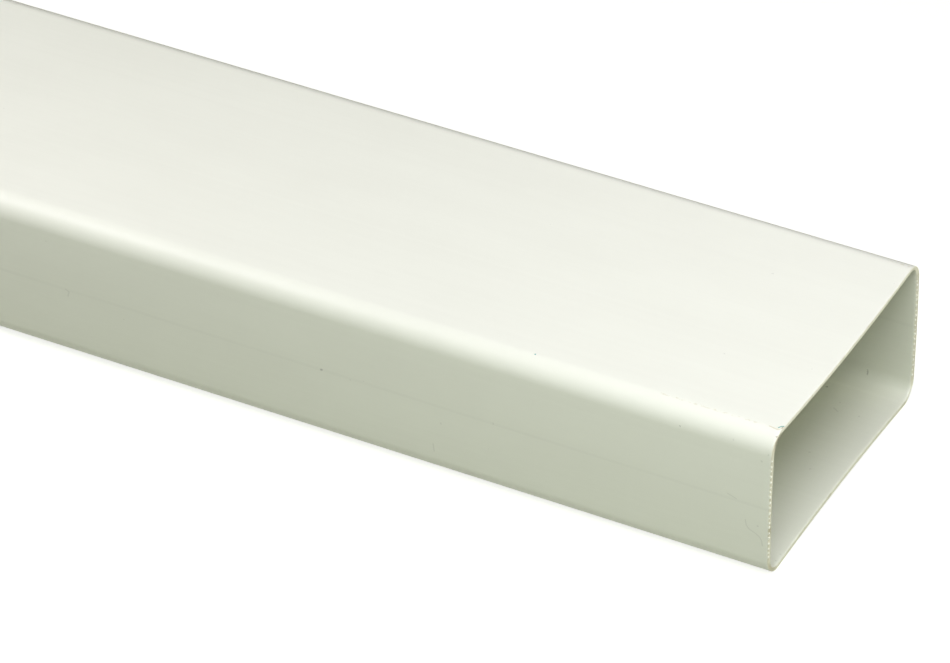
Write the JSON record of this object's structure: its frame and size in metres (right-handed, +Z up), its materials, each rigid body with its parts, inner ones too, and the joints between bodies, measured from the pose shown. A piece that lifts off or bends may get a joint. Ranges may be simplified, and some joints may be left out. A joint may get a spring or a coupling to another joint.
{
  "type": "flat channel duct",
  "caption": "Straight length of flat rectangular ventilation duct in rigid off-white plastic, with rounded corners, a thin even wall and open ends sawn square.",
  "frame": {"origin": "on the floor under the middle of the duct, at the bottom centre of its box", "axes": "+X along the duct towards the end that the picture shows, +Y across its width, +Z up through its height"},
  "size_m": [1, 0.11, 0.054],
  "materials": {
    "rigid_pvc": "extruded, satin, off-white with a slight green-grey cast"
  },
  "bodies": {
    "root": {"flat_channel_duct": "rigid_pvc"}
  },
  "joints": []
}
